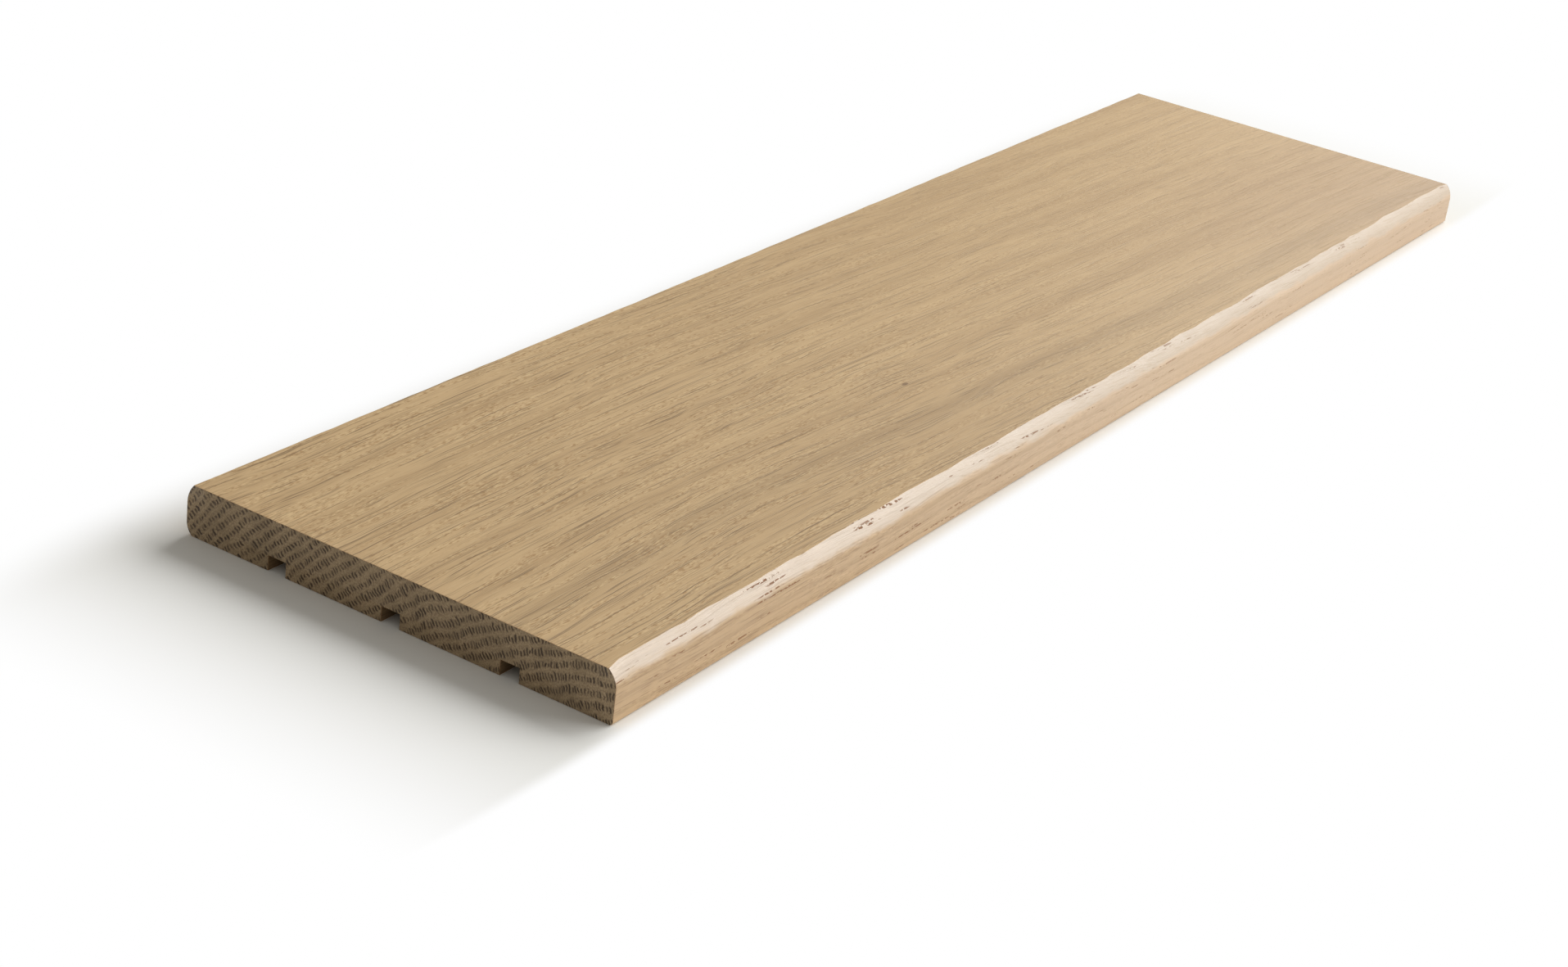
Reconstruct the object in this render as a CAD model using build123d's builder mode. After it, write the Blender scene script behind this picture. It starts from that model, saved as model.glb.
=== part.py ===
# Door threshold: one length of solid oak, moulded to a flat board with rounded
# long edges and three stress-relief grooves along its underside.
#
# The length runs along X, with the front edge at -Y and the back edge at +Y.
# Z is up, and the origin is at the middle of the underside.

import os

from build123d import *

# Board, in millimetres
length = 550.0
width = 141.0
thickness = 15.0

# Rounding between each long edge and the tread. It leaves the edge smoothly
# and the tread cuts it off, so that a crisp line stays along the tread.
tread_edge_drop = 5.6
tread_edge_inset = 2.3

# The same kind of rounding at the back foot, and a small one at the front foot
back_foot_rise = 4.0
back_foot_inset = 2.0
front_foot_radius = 1.0

# Relief grooves, sawn along the whole underside
groove_count = 3
groove_width = 6.0
groove_depth = 4.4
groove_pitch = 38.5

with BuildPart() as threshold_board:
    # The section, with its underside on the floor line and the front at the left
    with BuildSketch(Plane.YZ):
        with BuildLine():
            front_rounding = TangentArc(
                (-width / 2, thickness - tread_edge_drop),
                (-width / 2 + tread_edge_inset, thickness),
                tangent=(0, 1),
            )
            back_rounding = TangentArc(
                (width / 2, thickness - tread_edge_drop),
                (width / 2 - tread_edge_inset, thickness),
                tangent=(0, 1),
            )
            back_foot_rounding = TangentArc(
                (width / 2, back_foot_rise),
                (width / 2 - back_foot_inset, 0),
                tangent=(0, -1),
            )
            # Tread, then back edge, then underside and front edge
            Line(front_rounding @ 1, back_rounding @ 1)
            Line(back_rounding @ 0, back_foot_rounding @ 0)
            Polyline(back_foot_rounding @ 1, (-width / 2, 0), front_rounding @ 0)
        make_face()
        front_foot_corner = vertices().group_by(Axis.Y)[0].sort_by(Axis.X)[0]
        fillet(front_foot_corner, front_foot_radius)
        with GridLocations(groove_pitch, 0, groove_count, 1):
            Rectangle(
                groove_width,
                groove_depth,
                align=(Align.CENTER, Align.MIN),
                mode=Mode.SUBTRACT,
            )
    # Both ends are sawn square
    extrude(amount=length / 2, both=True)

threshold_board.part.label = "threshold_board"

os.makedirs("parts", exist_ok=True)
export_step(threshold_board.part, "parts/threshold_board.step")
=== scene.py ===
# %% [markdown]
# # An oak door threshold
#
# The object is one length of solid oak. A moulder has rounded its long edges and
# cut relief grooves along its underside, and a saw has cut its ends. This lesson
# loads the measured solid, sets the camera, builds the board again as a finer
# mesh, and then spends most of its time on one material: oak that is the same
# wood all the way through, so that the tread, the edge and the sawn ends agree.

# %% Load the frame
import math

import bpy
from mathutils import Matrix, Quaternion, Vector


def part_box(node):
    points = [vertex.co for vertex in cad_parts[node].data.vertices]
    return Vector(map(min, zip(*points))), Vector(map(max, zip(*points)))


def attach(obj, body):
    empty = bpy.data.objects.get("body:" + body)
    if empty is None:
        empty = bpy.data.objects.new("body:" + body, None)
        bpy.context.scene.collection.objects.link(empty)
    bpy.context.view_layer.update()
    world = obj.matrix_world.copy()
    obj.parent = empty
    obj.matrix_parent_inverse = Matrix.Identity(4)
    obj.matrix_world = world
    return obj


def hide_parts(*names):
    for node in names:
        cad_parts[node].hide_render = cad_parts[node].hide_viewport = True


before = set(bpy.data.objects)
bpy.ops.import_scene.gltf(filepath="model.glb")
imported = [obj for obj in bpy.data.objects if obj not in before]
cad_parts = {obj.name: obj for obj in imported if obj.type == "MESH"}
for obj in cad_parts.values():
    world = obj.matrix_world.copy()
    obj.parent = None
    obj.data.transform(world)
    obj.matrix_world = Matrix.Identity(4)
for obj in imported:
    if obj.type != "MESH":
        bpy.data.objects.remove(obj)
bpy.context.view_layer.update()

board_low, board_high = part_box("threshold_board")
length, width, thickness = board_high - board_low
print("board in mm:", [round(1000 * side, 1) for side in (length, width, thickness)])

# %% [markdown]
# ## Camera
#
# The photograph looks down on the near end and along the front edge, with a
# fairly long lens, and the camera leans a little to one side. A point on the
# tread that lies in the middle of the picture is the aim, and the camera is
# backed away from it by a bearing, a height angle and a distance.

# %% Set the camera
photo_width = 1915
focal_length_in_pixels = 3496.0
sensor_width = 36.0
aim = Vector((-0.1549, -0.0392, thickness))
bearing = math.radians(-59.70)
height_angle = math.radians(24.87)
lean = math.radians(7.53)
distance = 0.7958

towards_camera = Vector((
    math.sin(bearing) * math.cos(height_angle),
    -math.cos(bearing) * math.cos(height_angle),
    math.sin(height_angle),
))
camera = bpy.data.objects.new("camera", bpy.data.cameras.new("camera"))
bpy.context.collection.objects.link(camera)
camera.location = aim + towards_camera * distance
level_view = (-towards_camera).to_track_quat("-Z", "Y")
camera.rotation_mode = "QUATERNION"
camera.rotation_quaternion = level_view @ Quaternion((0, 0, 1), lean)
camera.data.sensor_width = sensor_width
camera.data.lens = sensor_width * focal_length_in_pixels / photo_width
bpy.context.scene.camera = camera
print("camera at", [round(c, 3) for c in camera.location], "lens", round(camera.data.lens, 1))

# %% [markdown]
# ## The board
#
# A moulding is its section, drawn once and pulled along its length. The packed
# solid has that shape already, but its roundings are a few flat facets, and its
# ends meet the faces in a perfectly sharp corner. So the section is made again
# as a plate, the way a paper pattern is cut: slit at the groove walls, and the
# groove pieces thrown away.

# %% Cut the section out of a plate
mm = 0.001
groove_count = 3
groove_width = 6.0 * mm
groove_depth = 4.4 * mm
groove_pitch = 38.5 * mm
near = 0.01 * mm

groove_centres = [(i - (groove_count - 1) / 2) * groove_pitch for i in range(groove_count)]


def start_empty_selection():
    """Leave edit mode if needed and deselect every object."""
    if bpy.context.object and bpy.context.object.mode != "OBJECT":
        bpy.ops.object.mode_set(mode="OBJECT")
    bpy.ops.object.select_all(action="DESELECT")


def pick(obj, kind, test):
    """Select only the edges or faces of obj that pass the test, and count them."""
    bpy.ops.mesh.select_all(action="DESELECT")
    bpy.ops.mesh.select_mode(type={"edges": "EDGE", "faces": "FACE"}[kind])
    bpy.ops.object.mode_set(mode="OBJECT")
    mesh = obj.data
    chosen = 0
    if kind == "edges":
        for edge in mesh.edges:
            edge.select = test(*(mesh.vertices[i].co for i in edge.vertices))
            chosen += edge.select
    else:
        for face in mesh.polygons:
            face.select = test(face.center)
            chosen += face.select
    bpy.ops.object.mode_set(mode="EDIT")
    return chosen


def slice_all(point, normal, throw_away_front=False):
    """Cut everything along a plane, and delete what is in front of it if asked."""
    bpy.ops.mesh.select_all(action="SELECT")
    bpy.ops.mesh.bisect(
        plane_co=point, plane_no=normal, clear_outer=throw_away_front, threshold=near / 10)


start_empty_selection()
near_end = -length / 2
bpy.ops.mesh.primitive_plane_add(
    size=1.0,
    location=(near_end, 0, thickness / 2),
    rotation=(0, math.radians(90), 0),
)
board = bpy.context.object
board.name = "oak_board"
board.scale = (thickness, width, 1)
bpy.ops.object.transform_apply(location=True, rotation=True, scale=True)
bpy.ops.object.mode_set(mode="EDIT")
for centre in groove_centres:
    slice_all((near_end, centre - groove_width / 2, 0), (0, 1, 0))
    slice_all((near_end, centre + groove_width / 2, 0), (0, 1, 0))
slice_all((near_end, 0, groove_depth), (0, 0, 1))
waste = pick(board, "faces", lambda middle: middle.z < groove_depth and any(
    abs(middle.y - centre) < groove_width / 2 for centre in groove_centres))
bpy.ops.mesh.delete(type="FACE")
bpy.ops.mesh.select_all(action="SELECT")
bpy.ops.mesh.dissolve_limited(angle_limit=math.radians(1))
print("groove pieces cut away:", waste)

# %% [markdown]
# The long edges are rounded, but not with a full quarter circle. The cutter's
# arc leaves the edge smoothly and the flat tread cuts it off, which leaves a
# crisp line along the tread. That line is what gives the bright band along the
# front its sharp upper border, so a bevel, which is smooth at both of its ends,
# won't do. Instead each corner is planed away shaving by shaving: every cut is
# one short chord of the arc.

# %% Plane the four corners round
front, back = -1, 1
tread_edge_drop = 5.6 * mm
tread_edge_inset = 2.3 * mm
back_foot_rise = 4.0 * mm
back_foot_inset = 2.0 * mm
front_foot_radius = 1.0 * mm
roundings = (
    # side, height where the arc leaves the edge, height where it ends, how far in
    (front, thickness - tread_edge_drop, thickness, tread_edge_inset),
    (back, thickness - tread_edge_drop, thickness, tread_edge_inset),
    (back, back_foot_rise, 0.0, back_foot_inset),
    (front, front_foot_radius, 0.0, front_foot_radius),
)
shavings = 12

for side, start_height, end_height, inset in roundings:
    rise = abs(end_height - start_height)
    upwards = 1 if end_height > start_height else -1
    arc_radius = (rise ** 2 + inset ** 2) / (2 * inset)
    turn = math.asin(min(1.0, rise / arc_radius))
    angles = [turn * i / shavings for i in range(shavings + 1)]
    arc = [
        (side * (width / 2 - arc_radius + arc_radius * math.cos(angle)),
         start_height + upwards * arc_radius * math.sin(angle))
        for angle in angles
    ]
    for (y0, z0), (y1, z1) in zip(arc, arc[1:]):
        outwards = Vector((0, side * abs(z1 - z0), upwards * abs(y1 - y0))).normalized()
        slice_all((near_end, y0, z0), outwards, throw_away_front=True)
    print("planed an arc of radius", round(arc_radius / mm, 2), "mm",
          "through", round(math.degrees(turn)), "degrees")

# %% [markdown]
# Now the section is pulled along the board. A saw leaves a crisp arris round
# each end, but never a perfect one, so a bevel of a fifth of a millimetre there
# catches a thin line of light. The long faces are then divided every few
# millimetres, which the next step needs.

# %% Pull the section along the board
arris = 0.2 * mm
pieces_along = 180

bpy.ops.mesh.select_all(action="SELECT")
bpy.ops.mesh.extrude_region_move(TRANSFORM_OT_translate={"value": (length, 0, 0)})
bpy.ops.mesh.select_all(action="SELECT")
bpy.ops.mesh.normals_make_consistent(inside=False)
pick(board, "edges", lambda a, b: abs(a.x - b.x) < near)
bpy.ops.mesh.bevel(offset=arris, offset_type="OFFSET", segments=2, profile=0.5, affect="EDGES")
lengthwise = pick(board, "edges", lambda a, b: abs(a.x - b.x) > length / 2)
bpy.ops.mesh.subdivide(number_cuts=pieces_along - 1)
bpy.ops.object.mode_set(mode="OBJECT")
print("edges along the board:", lengthwise, "faces:", len(board.data.polygons))

# %% [markdown]
# Sanding by hand has gone over the crisp lines along the tread. Along the front
# it has taken the line almost 2 mm further in. Over the last 15 mm at each end
# the paper lifts off, and the line comes back out. Both lines waver, the front
# one most, and the light on the rounding wavers with them. Two Displace
# modifiers do this: one pushes the front arc in, and one moves both arcs in and
# out with a cloudy texture. Each works most at the crisp line and not at all
# where the arc meets the edge. They push sideways only, so the tread stays flat
# and the board keeps its width.

# %% Sand the tread's crisp lines
sanded_in = 1.8 * mm
paper_lifts_off = 15 * mm
waver = 2.0 * mm
waver_length = 11 * mm
back_share_of_waver = 0.3
edge_strip = 3 * mm

pushed_in = board.vertex_groups.new(name="pushed_in")
sanded = board.vertex_groups.new(name="sanded")
for vertex in board.data.vertices:
    depth = thickness - vertex.co.z
    if depth < tread_edge_drop and abs(vertex.co.y) > width / 2 - edge_strip:
        is_front = vertex.co.y < 0
        near_line = (1 - depth / tread_edge_drop) ** 2
        from_end = min(1.0, (length / 2 - abs(vertex.co.x)) / paper_lifts_off)
        if is_front:
            pushed_in.add([vertex.index], near_line * from_end ** 0.5, "REPLACE")
        share = 1.0 if is_front else back_share_of_waver
        sanded.add([vertex.index], near_line * share, "REPLACE")
widening = board.modifiers.new("widening", "DISPLACE")
widening.vertex_group = pushed_in.name
widening.direction = "Y"
widening.mid_level = 0.0
widening.strength = sanded_in

clouds = bpy.data.textures.new("sanding", "CLOUDS")
clouds.noise_scale = waver_length
wavering = board.modifiers.new("wavering", "DISPLACE")
wavering.texture = clouds
wavering.texture_coords = "LOCAL"
wavering.vertex_group = sanded.name
wavering.direction = "Y"
wavering.mid_level = 0.5
wavering.strength = waver

start_empty_selection()
board.select_set(True)
bpy.context.view_layer.objects.active = board
bpy.ops.object.modifier_apply(modifier=widening.name)
bpy.ops.object.modifier_apply(modifier=wavering.name)
sharpest_smooth_turn = math.radians(25)
bpy.ops.object.shade_smooth_by_angle(angle=sharpest_smooth_turn)
even_shading = board.modifiers.new("even_shading", "WEIGHTED_NORMAL")
even_shading.keep_sharp = True
even_shading.weight = 100
bpy.ops.object.modifier_apply(modifier=even_shading.name)
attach(board, "root")
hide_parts("threshold_board")
print("board faces:", len(board.data.polygons))

# %% [markdown]
# ## Tools for shader maths
#
# A material here is mostly arithmetic on a few patterns. Wrapping a node's
# output in a small class lets that arithmetic be written as arithmetic, and
# each operator then adds its own Math node. Every other node is added by one
# method, which sets the node's settings first and then its sockets.


# %% A number that can be added and multiplied
def maths(operation, *values):
    """Add one Math node that works on numbers and plain values, and return its result."""
    tree = next(value.socket.id_data for value in values if isinstance(value, Number))
    node = tree.nodes.new("ShaderNodeMath")
    node.operation = operation
    for slot, value in zip(node.inputs, values):
        if isinstance(value, Number):
            tree.links.new(value.socket, slot)
        else:
            slot.default_value = value
    return Number(node.outputs[0])


class Number:
    """A number that varies over the surface, as the output socket of a node."""

    def __init__(self, socket):
        self.socket = socket

    def __add__(self, other):
        return maths("ADD", self, other)

    def __radd__(self, other):
        return maths("ADD", other, self)

    def __sub__(self, other):
        return maths("SUBTRACT", self, other)

    def __rsub__(self, other):
        return maths("SUBTRACT", other, self)

    def __mul__(self, other):
        return maths("MULTIPLY", self, other)

    def __rmul__(self, other):
        return maths("MULTIPLY", other, self)

    def __truediv__(self, other):
        return maths("DIVIDE", self, other)

    def __rtruediv__(self, other):
        return maths("DIVIDE", other, self)

    def __pow__(self, other):
        return maths("POWER", self, other)

    def __abs__(self):
        return maths("ABSOLUTE", self)

    def floor(self):
        """The whole number below."""
        return maths("FLOOR", self)

    def fraction(self):
        """What is left above the whole number."""
        return maths("FRACT", self)


class Material:
    """A new material and the nodes in it."""

    def __init__(self, name):
        self.material = bpy.data.materials.new(name)
        self.material.use_nodes = True
        self.tree = self.material.node_tree
        self.tree.nodes.clear()

    def node(self, kind, settings, inputs):
        """Add any node: first its settings, then values or links for its sockets."""
        node = self.tree.nodes.new("ShaderNode" + kind)
        for name, value in settings.items():
            setattr(node, name, value)
        for key, value in inputs.items():
            if isinstance(value, Number):
                value = value.socket
            if isinstance(value, bpy.types.NodeSocket):
                self.tree.links.new(value, node.inputs[key])
            else:
                node.inputs[key].default_value = value
        return node

    def place(self, x, y, z):
        """A vector from three numbers, to look a pattern up at."""
        return self.node("CombineXYZ", {}, {"X": x, "Y": y, "Z": z}).outputs["Vector"]

    def noise(self, where, detail=2.0, roughness=0.5):
        """A cloudy pattern, mostly from 0.25 to 0.75, one blotch to each unit of where."""
        inputs = {"Vector": where, "Scale": 1.0, "Detail": detail, "Roughness": roughness}
        return Number(self.node("TexNoise", {}, inputs).outputs["Fac"])

    def scatter(self, where):
        """How far the nearest of many scattered points is, one point to each unit of where."""
        inputs = {"Vector": where, "Scale": 1.0, "Randomness": 1.0}
        return Number(self.node("TexVoronoi", {}, inputs).outputs["Distance"])

    def step(self, value, low, high):
        """0 below low, 1 above high and a smooth rise between them; high may be the lower one."""
        settings = {"interpolation_type": "SMOOTHSTEP"}
        inputs = {"Value": value, "From Min": low, "From Max": high}
        return Number(self.node("MapRange", settings, inputs).outputs["Result"])

    def blend(self, share, first, second):
        """A colour between two colours. The Mix node's colour sockets are its inputs 6 and 7."""
        settings = {"data_type": "RGBA", "clamp_factor": True}
        return self.node("Mix", settings, {0: share, 6: first, 7: second}).outputs[2]

    def output(self, shader):
        """Send a shader to the surface and return the finished material."""
        self.node("OutputMaterial", {}, {"Surface": shader})
        return self.material


def paint(red, green, blue):
    """A colour as read off a screen, from 0 to 255, turned into light."""
    def linear(level):
        share = level / 255
        return share / 12.92 if share <= 0.04045 else ((share + 0.055) / 1.055) ** 2.4
    return (linear(red), linear(green), linear(blue), 1.0)


print("a mid tan is", [round(c, 3) for c in paint(190, 164, 128)])

# %% [markdown]
# ## Oak, all the way through
#
# Wood is a solid pattern. The board was sawn well to one side of the log's
# heart, so the growth rings stand at about 45 degrees at the back of the sawn
# end and lie down towards the front. Everything below is worked out from two
# numbers that every point of the wood has: how far it is from the heart, and
# how far round it. The fibres aren't quite straight. From the near end they
# first drift a little towards the back, and past a soft bend they drift towards
# the front by about an inch, swaying together as they go.

# %% Where a point lies in the log
oak = Material("oak")
heart_y = -103.0
heart_z = -147.0
typical_radius = 190.0
half_length_mm = 1000 * length / 2
bend_from_end = 90
bend_softness = 60
drift_before, drift_after = -0.04, 0.06

object_position = oak.node("TexCoord", {}, {}).outputs["Object"]
in_mm = oak.node("VectorMath", {"operation": "SCALE"}, {"Vector": object_position, "Scale": 1000.0})
axes = oak.node("SeparateXYZ", {}, {"Vector": in_mm.outputs["Vector"]})
x, y, z = (Number(axes.outputs[name]) for name in "XYZ")

long_sway = oak.noise(oak.place(x / 260, y / 80, z / 80), detail=0.0) - 0.5
sway = oak.noise(oak.place(x / 58, y / 26, z / 26), detail=1.0) - 0.5
quiver = oak.noise(oak.place(x / 13, y / 5, z / 5), detail=1.0) - 0.5
past_bend = x + half_length_mm - bend_from_end
bent = (past_bend ** 2.0 + bend_softness ** 2) ** 0.5
drift = past_bend * ((drift_after + drift_before) / 2) + bent * ((drift_after - drift_before) / 2)
across = y + drift + long_sway * 8 + sway * 4.2 + quiver * 0.9
from_heart_y = across - heart_y
from_heart_z = z - heart_z + sway * 3
radius = (from_heart_y * from_heart_y + from_heart_z * from_heart_z) ** 0.5
around = maths("ARCTAN2", from_heart_z, from_heart_y) * typical_radius
print("nodes for the log:", len(oak.tree.nodes))

# %% [markdown]
# The rings get narrower as the tree gets older, from 3.6 mm under the front edge
# to 2.6 mm at the back. Counting them is a sum that grows a little faster than
# the distance does. The whole part of the count tells which ring a point is in,
# and the rest tells how far through that year's growth it is.

# %% Count the rings
inner_radius = 157.0
inner_ring_width = 3.6
narrowing = 0.00071

past_first_ring = radius - inner_radius
ring_wobble = oak.noise(oak.place(x / 90, around / 8, radius / 6), detail=2.0) - 0.5
rings = past_first_ring / inner_ring_width + past_first_ring * past_first_ring * narrowing
rings = rings + ring_wobble * 0.8
ring_number = rings.floor()
ring_phase = rings.fraction()
print("nodes with the rings:", len(oak.tree.nodes))

# %% [markdown]
# On the sawn end, each ring is a row of short dark strokes that point outwards,
# with a paler seam between one row and the next. The strokes stand in lanes,
# about a millimetre apart. A White Noise node gives every stroke its own luck,
# from which come its place in the lane, its two ends and how dark it is.

# %% Strokes on the sawn ends
lane_width = 1.10

stroke_sway = oak.noise(oak.place(x / 60, around / 3.5, radius / 1.6), detail=1.0) - 0.5
lane_position = around / lane_width + stroke_sway * 1.1 + ring_number * 0.37
lane_key = oak.place(lane_position.floor(), ring_number, 0.0)
luck = oak.node("TexWhiteNoise", {}, {"Vector": lane_key}).outputs["Color"]
lucky = oak.node("SeparateColor", {}, {"Color": luck})
luck_1, luck_2, luck_3 = (Number(lucky.outputs[i]) for i in range(3))

off_lane = abs(lane_position.fraction() - 0.5 + (luck_1 - 0.5) * 0.3)
stroke_width = oak.step(off_lane, 0.38, 0.15)
stroke_start = oak.step(ring_phase - luck_2 * 0.22, 0.04, 0.22)
stroke_end = oak.step(ring_phase + luck_3 * 0.28, 0.96, 0.78)
strokes = stroke_width * stroke_start * stroke_end * (0.55 + luck_1 * 0.45)
seams = oak.step(abs(ring_phase - 0.5), 0.42, 0.5)
print("nodes with the strokes:", len(oak.tree.nodes))

# %% [markdown]
# On the long faces the same pores are cut lengthwise. They show as darker lines
# up to about five centimetres long, with finer ones of up to two centimetres
# between them. A scatter of points, stretched sixty to a hundred times along
# the board, gives each line its own place, length and thickness: the line is
# where the surface passes close to a point. Between the lines lie short flecks,
# some ochre and some pale, in loose rows that gather in the early part of each
# year's growth, and very fine fibres.
#
# The photograph is sharp only near the camera. This camera keeps everything
# sharp, so lines and flecks are laid on more faintly towards the far end.

# %% Pores, flecks and fibres on the long faces
streak_across = -35
streak_half_width = 9.0

pore_lines = oak.step(oak.scatter(oak.place(x / 60, around / 0.62, radius / 0.62)), 0.42, 0.14)
fine_lines = oak.step(oak.scatter(oak.place(x / 26, around / 0.44, radius / 0.44 + 40)), 0.44, 0.16)
fading = oak.step(x, -200.0, 150.0)
crowding = oak.step(oak.noise(oak.place(x / 80, around / 4, radius / 4), detail=1.0), 0.36, 0.60)
early_growth = oak.step(ring_phase, 0.50, 0.15)
row_noise = oak.noise(oak.place(x / 50, around / 1.8, radius / 1.8), detail=1.0)
rows = oak.step(row_noise + early_growth * 0.10, 0.50, 0.60)
fleck_field = oak.noise(oak.place(x / 2.0, around / 0.40, radius / 0.40), detail=1.0)
pale_flecks = oak.step(fleck_field, 0.55, 0.66) * rows
ochre_flecks = oak.step(fleck_field, 0.47, 0.36) * rows
fibres = oak.noise(oak.place(x / 13, around / 0.34, radius / 0.34), detail=2.0, roughness=0.6)
clouding = oak.noise(oak.place(x / 200, around / 7, radius / 7), detail=2.0)
streak = oak.step(abs(across - streak_across), streak_half_width, 1.0)
print("nodes with the pores:", len(oak.tree.nodes))

# %% [markdown]
# Colours are chosen to match the photograph and laid over one another, from the
# broadest to the finest: the year's growth, clouds, one darker streak, fibres,
# flecks and lines. The streak starts at the near end about a quarter of the way
# in from the front, and follows the fibres. A painted shade darkens the tread
# towards the far end's front corner, and one tiny dark pin knot sits in the tread.

# %% Colour of the long faces
long_grain = oak.blend(ring_phase * 0.4, paint(211, 180, 134), paint(200, 167, 121))
long_grain = oak.blend(oak.step(clouding, 0.35, 0.70) * 0.6, long_grain, paint(185, 153, 110))
long_grain = oak.blend(streak * 0.28, long_grain, paint(156, 129, 93))
long_grain = oak.blend(oak.step(fibres, 0.45, 0.20) * 0.6, long_grain, paint(156, 127, 88))
long_grain = oak.blend(oak.step(fibres, 0.55, 0.80) * 0.6, long_grain, paint(218, 192, 150))
long_grain = oak.blend(ochre_flecks * (0.60 - fading * 0.35), long_grain, paint(160, 120, 72))
long_grain = oak.blend(pale_flecks * (0.60 - fading * 0.3), long_grain, paint(226, 197, 148))
long_grain = oak.blend(fine_lines * (0.45 - fading * 0.2), long_grain, paint(140, 114, 80))
line_depth = (0.54 + crowding * 0.14 + early_growth * 0.12) * (1 - fading * 0.6)
long_grain = oak.blend(pore_lines * line_depth, long_grain, paint(120, 94, 62))
# Painted shade: the tread is darkened towards the far end's front corner.
painted_shade_far_corner = oak.step(x, 60.0, 260.0) * oak.step(y, 20.0, -50.0)
long_grain = oak.blend(painted_shade_far_corner * 0.35, long_grain, paint(166, 130, 91))
pin_knot_x, pin_knot_y = -67, -25.5
pin_knot_half_length, pin_knot_half_width = 1.9, 0.9
from_pin_knot = (
    ((x - pin_knot_x) / pin_knot_half_length) ** 2.0
    + ((y - pin_knot_y) / pin_knot_half_width) ** 2.0
)
pin_knot = oak.step(from_pin_knot, 1.0, 0.2)
long_grain = oak.blend(pin_knot * 0.7, long_grain, paint(112, 80, 50))

# %% [markdown]
# Along the two edges the rounding cuts across the pores and tears them open.
# They show as broken rows of brown dashes, mostly at the crisp line. The mask
# for an edge starts a hair below the tread, so it begins wherever sanding has
# put the crisp line. The upper part of the rounding carries a painted highlight:
# this band is painted paler and less yellow than the rest, and it ends in a
# ragged border about 3.5 mm below the tread. Farther along the board, painted
# light makes the flat of the edge paler and the painted highlight browner.

# %% Open pores along the edges
# where each mask starts and where it is full, in mm
outer_strip = (64.0, 65.0)
below_tread = (14.99, 14.93)
painted_highlight_heights = (10.7, 12.5)
by_crisp_line = (13.0, 14.4)

on_edge = oak.step(abs(y), *outer_strip) * oak.step(z, *below_tread)
ragged = oak.noise(oak.place(x / 9, y / 3, z / 3), detail=2.0) - 0.5
# The band of painted highlight: the upper part of the rounding, down to a ragged border.
on_rounding = on_edge * oak.step(z + ragged * 4, *painted_highlight_heights)
at_crisp_line = on_edge * oak.step(z, *by_crisp_line)
vessels = oak.step(oak.scatter(oak.place(x / 34, around / 1.5, radius / 1.05 + 80)), 0.33, 0.23)
tears = oak.step(oak.noise(oak.place(x / 1.8, around, radius / 0.8), detail=2.0), 0.47, 0.53)
gathering = oak.noise(oak.place(x / 30, around / 3, radius / 2), detail=1.0)
gathering = oak.step(gathering + at_crisp_line * 0.15 + early_growth * 0.04, 0.51, 0.58)
dashes = vessels * tears * gathering * on_edge * (1 - fading * 0.5)
# Painted light: farther along the board the edge is painted paler and its painted highlight
# browner.
far_painted_light = oak.step(x, -230.0, 20.0)
long_grain = oak.blend(on_edge * 0.5, long_grain, paint(184, 154, 121))
long_grain = oak.blend(on_edge * far_painted_light * 0.5, long_grain, paint(208, 184, 158))
early_rings = on_edge * early_growth * (0.3 - fading * 0.2)
long_grain = oak.blend(early_rings, long_grain, paint(154, 124, 88))
# Painted highlight: the upper band of the rounding is painted paler and less yellow.
long_grain = oak.blend(on_rounding * 0.65, long_grain, paint(204, 188, 170))
long_grain = oak.blend(on_rounding * far_painted_light * 0.5, long_grain, paint(176, 157, 131))
darker_fibres = on_rounding * oak.step(fibres, 0.52, 0.32) * 0.35
long_grain = oak.blend(darker_fibres, long_grain, paint(178, 150, 118))
long_grain = oak.blend(dashes * (0.70 + on_rounding * 0.20), long_grain, paint(128, 78, 34))

# %% [markdown]
# The sawn ends are darker, because light sinks into the open pores. The grooves
# are rougher than the planed faces, and painted darker as painted shade in
# their recesses. The arris between a planed face and a sawn end keeps a thin warm
# line.

# %% Colour of the sawn ends and the grooves
end_fibres = oak.noise(oak.place(x / 30, around / 0.45, radius / 0.55), detail=2.0, roughness=0.6)
end_grain = oak.blend(oak.step(end_fibres, 0.30, 0.70), paint(139, 118, 91), paint(180, 156, 124))
end_grain = oak.blend(oak.step(clouding, 0.40, 0.65) * 0.35, end_grain, paint(122, 104, 78))
end_grain = oak.blend(seams * 0.4, end_grain, paint(177, 153, 120))
end_grain = oak.blend(strokes * 0.95, end_grain, paint(66, 51, 36))

from_middle = abs(x)
on_end = oak.step(from_middle, half_length_mm - 0.10, half_length_mm - 0.04)
on_arris = oak.step(from_middle, half_length_mm - 0.28, half_length_mm - 0.16)
in_groove = oak.step(z, 0.02, 0.12) * oak.step(z, 4.9, 4.6) * oak.step(abs(y), 52.0, 51.0)
# Painted shade: the grooves are painted darker, as shade in their recesses.
colour = oak.blend(in_groove * 0.8, long_grain, paint(112, 86, 56))
colour = oak.blend(on_arris * 0.5, colour, paint(158, 116, 76))
colour = oak.blend(on_end, colour, end_grain)
print("nodes with the colours:", len(oak.tree.nodes))
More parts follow.
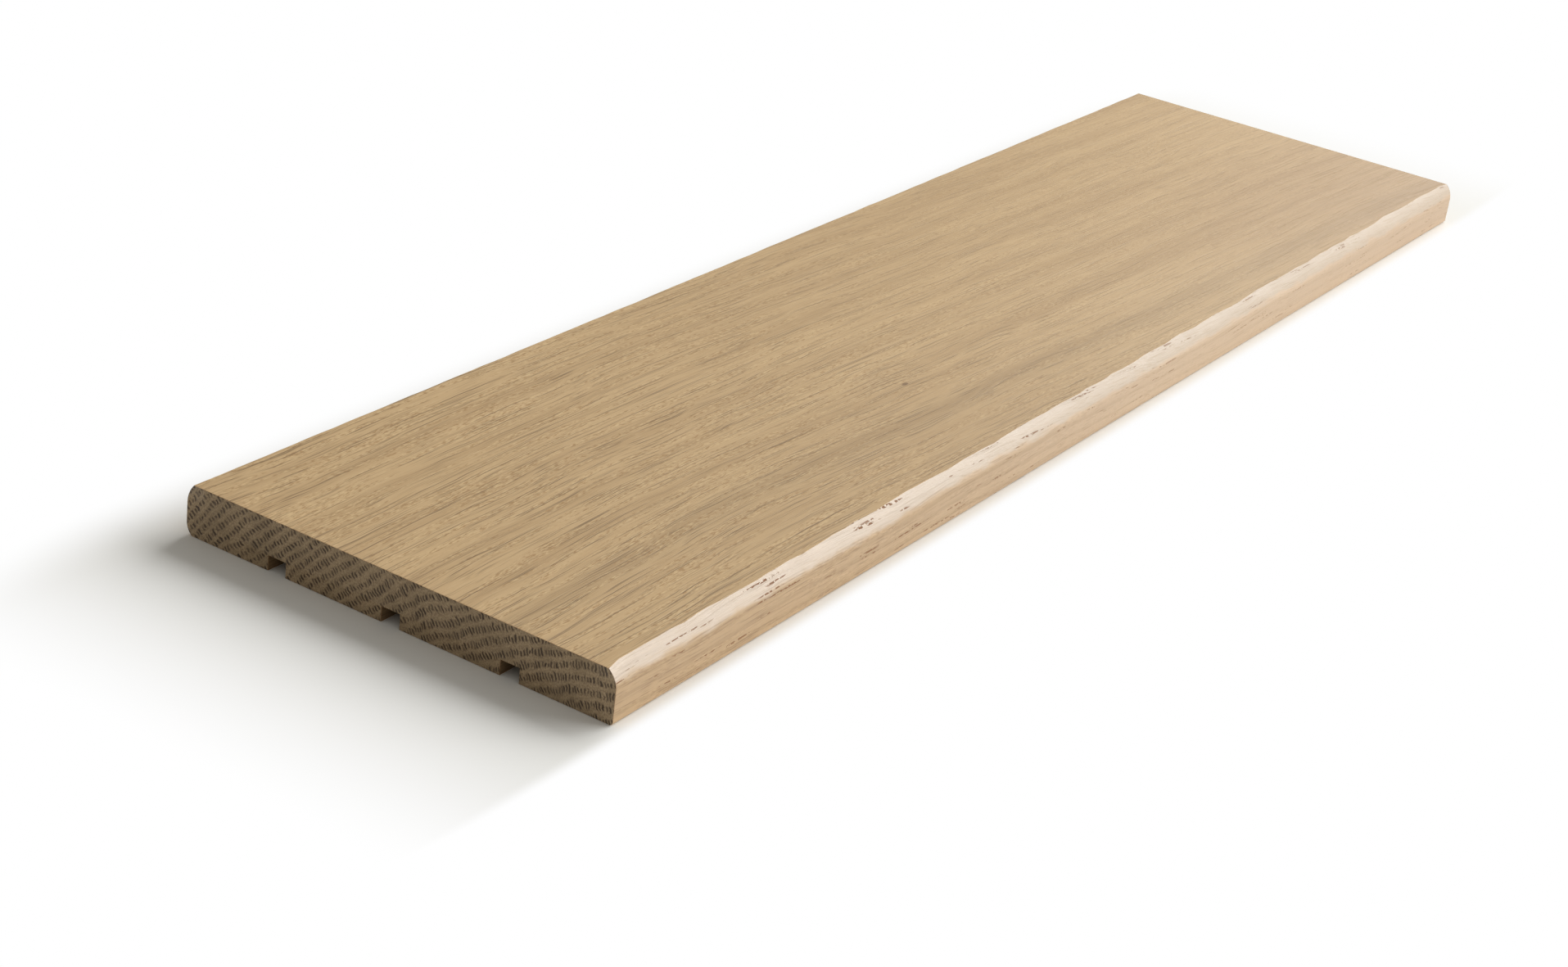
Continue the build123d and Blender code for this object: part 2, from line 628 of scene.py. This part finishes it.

# %% [markdown]
# Pores and strokes are hollows, so the same masks go into a Bump node, in
# millimetres. A planer leaves faint ripples straight across the board, which
# only show where a bright light grazes the rounding. Bare wood with a thin oil
# has a soft sheen: the planed faces are smoother than the pores and sawn ends.
# A thin coat makes the band with the painted highlight shine a little more, and
# less so towards the far end.

# %% Relief and finish
ripples = oak.noise(oak.place(x / 1.1, y / 9, z / 9), detail=1.0) - 0.5
side_relief = (
    pore_lines * -0.02
    + fine_lines * -0.01
    + dashes * -0.08
    + (fibres - 0.5) * (0.02 + on_rounding * 0.03)
    + ripples * 0.012
)
end_relief = strokes * -0.14 + (end_fibres - 0.5) * 0.08
relief = side_relief * (1 - on_end) + end_relief * on_end
bump = oak.node("Bump", {}, {"Height": relief, "Distance": mm, "Strength": 1.0})
roughness = (
    0.42
    + pore_lines * 0.15
    + dashes * 0.3
    + on_end * 0.3
    + in_groove * 0.3
    + ripples * 0.15
)
surface = oak.node("BsdfPrincipled", {}, {
    "Base Color": colour,
    "Roughness": roughness,
    "Coat Weight": on_rounding * (1 - dashes) * (0.28 - fading * 0.25),
    "Coat Roughness": 0.35,
    "Normal": bump.outputs["Normal"],
})
board.data.materials.clear()
board.data.materials.append(oak.output(surface.outputs["BSDF"]))
print("nodes in the oak:", len(oak.tree.nodes))

# %% [markdown]
# ## Floor
#
# The photograph shows the board on pure white with only a soft grey shadow
# beside it. Near the board the floor is plain matt white, which takes the
# shadow. Farther off it turns into light of strength 1, which is white, but only
# for the camera's own rays and for glossy and transmission rays. It turns
# sooner behind the board than past its ends, and soonest in front, where the
# photograph's shadow is narrowest.

# %% Lay the floor
floor_size = 30.0
floor_gap = 0.02 * mm
white_from, white_by = 0.010, 0.085
haste_behind = 3
haste_in_front = 15

start_empty_selection()
bpy.ops.mesh.primitive_plane_add(size=floor_size, location=(0, 0, -floor_gap))
floor = bpy.context.object
floor.name = "floor"

white = Material("studio_floor")
floor_position = white.node("TexCoord", {}, {}).outputs["Object"]
floor_axes = white.node("SeparateXYZ", {}, {"Vector": floor_position})
floor_x, floor_y = (Number(floor_axes.outputs[name]) for name in "XY")
past_end = maths("MAXIMUM", abs(floor_x) - length / 2, 0.0)
behind = (floor_y - width / 2) * haste_behind
in_front = (floor_y + width / 2) * -haste_in_front
past_edge = maths("MAXIMUM", behind, in_front)
past_edge = maths("MAXIMUM", past_edge, 0.0)
away = (past_end ** 2.0 + past_edge ** 2.0) ** 0.5
sight = white.node("LightPath", {}, {})
seen = Number(sight.outputs["Is Camera Ray"])
for ray in ("Is Glossy Ray", "Is Transmission Ray"):
    seen = maths("MAXIMUM", seen, Number(sight.outputs[ray]))
matt_white = white.node("BsdfDiffuse", {}, {"Color": (0.93, 0.93, 0.90, 1.0)})
background = white.node("Emission", {}, {"Color": (1.0, 1.0, 1.0, 1.0), "Strength": 1.0})
paper = white.node("MixShader", {}, {
    0: seen * white.step(away, white_from, white_by),
    1: matt_white.outputs[0],
    2: background.outputs[0],
})
floor.data.materials.append(white.output(paper.outputs[0]))
print("nodes in the floor:", len(white.tree.nodes))

# %% [markdown]
# ## Light
#
# Two big soft boxes stand beyond the far end, so the tread is brighter there and
# the near end lies in its own shade. The window is low and well to the front,
# and grazes the front rounding. The far lamp is higher and nearly in line with
# the board. A weak warm sky fills in the rest.

# %% Hang the lamps
lamp_distance = 4.5
lamp_size = 3.1
sky_strength = 0.30
lamps = (
    # name, bearing from the near end in degrees, height angle in degrees, watts
    ("window", -45, 20, 130.0),
    ("far_lamp", -5, 35, 140.0),
)


def soft_lamp(name, location, target, watts, side):
    """Hang a square soft box at a place, turned towards a target."""
    data = bpy.data.lights.new(name, "AREA")
    data.energy = watts
    data.size = side
    lamp = bpy.data.objects.new(name, data)
    bpy.context.collection.objects.link(lamp)
    lamp.location = location
    lamp.rotation_mode = "QUATERNION"
    lamp.rotation_quaternion = (Vector(target) - Vector(location)).to_track_quat("-Z", "Y")


for name, turn, climb, watts in lamps:
    turn, climb = math.radians(turn), math.radians(climb)
    level = math.cos(climb)
    direction = Vector((math.cos(turn) * level, math.sin(turn) * level, math.sin(climb)))
    place = Vector((near_end, 0, 0)) + direction * lamp_distance
    soft_lamp(name, place, (0, 0, 0), watts, lamp_size)
    print(name, "at", [round(c, 2) for c in place])
world = bpy.data.worlds.new("studio")
bpy.context.scene.world = world
world.use_nodes = True
sky = world.node_tree.nodes["Background"]
sky.inputs["Color"].default_value = (1.0, 0.965, 0.90, 1.0)
sky.inputs["Strength"].default_value = sky_strength
bpy.context.scene.view_settings.view_transform = "Standard"
print("sky strength", sky_strength)
